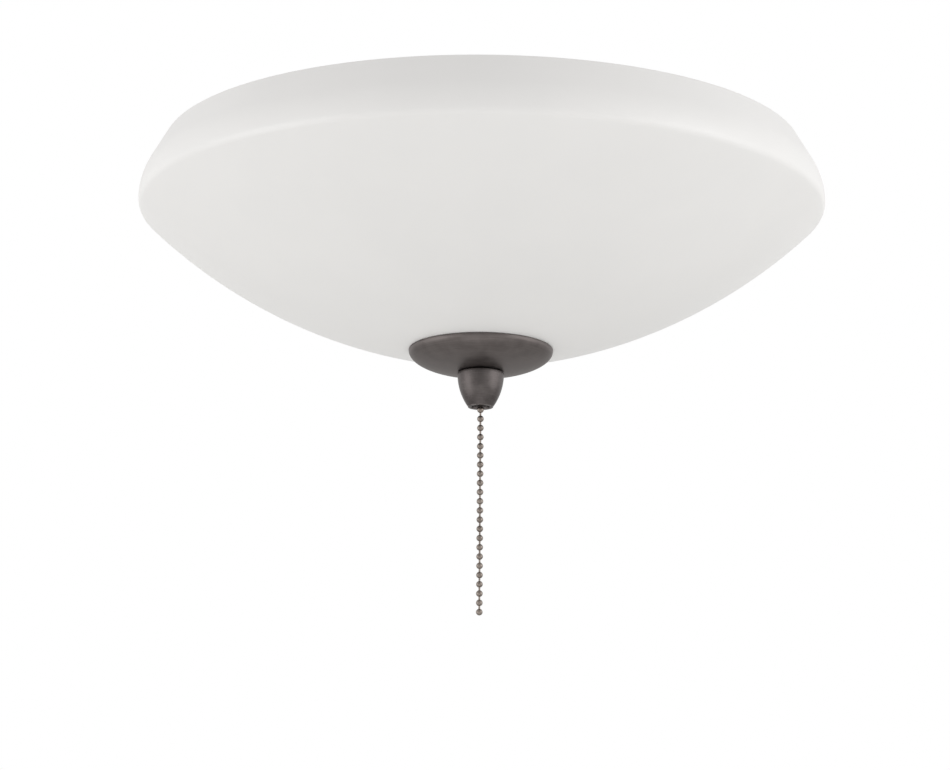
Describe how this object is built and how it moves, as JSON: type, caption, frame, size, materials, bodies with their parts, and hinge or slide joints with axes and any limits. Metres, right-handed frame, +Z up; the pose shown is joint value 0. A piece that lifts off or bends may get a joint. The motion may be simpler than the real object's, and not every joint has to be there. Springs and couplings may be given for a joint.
{
  "type": "ceiling fan light kit",
  "caption": "Opal glass bowl on a hollow rod, held by a dished metal cap and a bullet finial, with a ball chain through it to a pull switch, lamp holders and a housing that meets the fan.",
  "frame": {"origin": "centre of the housing's flat top, where it meets the fan", "axes": "+Z up along the centre rod, into the fan; +X along the lamps; +Y to the back as pictured"},
  "size_m": [0.33, 0.33, 0.254],
  "materials": {
    "opal_glass": "glossy opal, lets no shape show through",
    "dark_pewter": "dark pewter, fine brushing round the piece",
    "chain_metal": "bright pewter plating, burnished",
    "white_paint": "white reflector enamel, satin",
    "zinc_steel": "bright zinc plating",
    "brass": "plain brass",
    "black_rubber": "matt",
    "black_moulding": "moulded, semi-matt",
    "porcelain": "glazed white",
    "lamp_glass": "frosted white",
    "lead_black": "black insulation, semi-matt",
    "lead_white": "white insulation, semi-matt",
    "nylon": "natural nylon"
  },
  "bodies": {
    "fixture": {"stop_washer": "zinc_steel", "stop_nut": "zinc_steel", "centre_rod": "zinc_steel", "rod_lock_washer": "zinc_steel", "rod_nut_upper": "zinc_steel", "rod_nut_lower": "zinc_steel", "fitter_cup": "dark_pewter", "inlet_bushing": "nylon", "reflector_pan": "white_paint", "pan_screw_1": "zinc_steel", "pan_screw_2": "zinc_steel", "pan_screw_3": "zinc_steel", "switch_bracket": "zinc_steel", "bracket_screw_1": "zinc_steel", "bracket_screw_2": "zinc_steel", "switch_body": "black_moulding", "switch_cover": "black_moulding", "switch_neck": "brass", "neck_nut": "brass", "contact_live": "brass", "contact_load": "brass", "lamp_bracket": "zinc_steel", "wire_nut_supply": "black_moulding", "wire_nut_live": "black_moulding", "wire_nut_neutral": "black_moulding", "lead_live_a": "lead_black", "lead_live_b": "lead_black", "lead_neutral_a": "lead_white", "lead_neutral_b": "lead_white", "lead_switch_in": "lead_black", "lead_switch_out": "lead_black", "lamp_holder_a": "porcelain", "screw_shell_a": "brass", "centre_contact_a": "brass", "holder_screw_a": "zinc_steel", "pan_grommet_a": "black_rubber", "lamp_holder_b": "porcelain", "screw_shell_b": "brass", "centre_contact_b": "brass", "holder_screw_b": "zinc_steel", "pan_grommet_b": "black_rubber"},
    "bowl": {"glass_bowl": "opal_glass", "glass_bushing": "black_rubber", "glass_washer": "black_rubber"},
    "cap": {"finial_cap": "dark_pewter"},
    "finial_washer": {"finial_washer": "nylon"},
    "finial": {"finial": "dark_pewter"},
    "chain": {"pull_chain": "chain_metal", "pull_slider": "nylon", "return_spring": "zinc_steel"},
    "rotor": {"ratchet_rotor": "nylon", "rotor_contact": "brass"},
    "lamp_a": {"lamp_base_a": "brass", "lamp_glass_a": "lamp_glass"},
    "lamp_b": {"lamp_base_b": "brass", "lamp_glass_b": "lamp_glass"}
  },
  "joints": [
    {"name": "chain_pull", "type": "slide", "parent": "fixture", "child": "chain", "axis": [0, 0, -1], "range_m": [0, 0.007], "stiffness_N_per_m": 1500, "springref_m": -0.001, "deforming": ["return_spring"]},
    {"name": "ratchet_turn", "type": "hinge", "parent": "fixture", "child": "rotor", "pos_m": [0.0096, 0, -0.0251], "axis": [0, -1, 0], "range_deg": [0, 90]},
    {"name": "bowl_drop", "type": "slide", "parent": "fixture", "child": "bowl", "axis": [0, 0, -1], "range_m": [0, 0.235]},
    {"name": "cap_drop", "type": "slide", "parent": "bowl", "child": "cap", "axis": [0, 0, -1], "range_m": [0, 0.13]},
    {"name": "finial_advance", "type": "slide", "parent": "cap", "child": "finial_washer", "axis": [0, 0, -1], "range_m": [0, 0.0095]},
    {"name": "finial_turn", "type": "hinge", "parent": "finial_washer", "child": "finial", "pos_m": [0, 0, -0.13647], "axis": [0, 0, -1], "range_deg": [0, 3600]},
    {"name": "lamp_a_unscrew", "type": "slide", "parent": "fixture", "child": "lamp_a", "axis": [1, 0, 0], "range_m": [0, 0.015]},
    {"name": "lamp_b_unscrew", "type": "slide", "parent": "fixture", "child": "lamp_b", "axis": [-1, 0, 0], "range_m": [0, 0.015]}
  ],
  "couplings": [
    {"joint": "ratchet_turn", "follows": "chain_pull", "rad_per_m": 224.39},
    {"joint": "finial_advance", "follows": "finial_turn", "m_per_rad": 0.00014961}
  ]
}
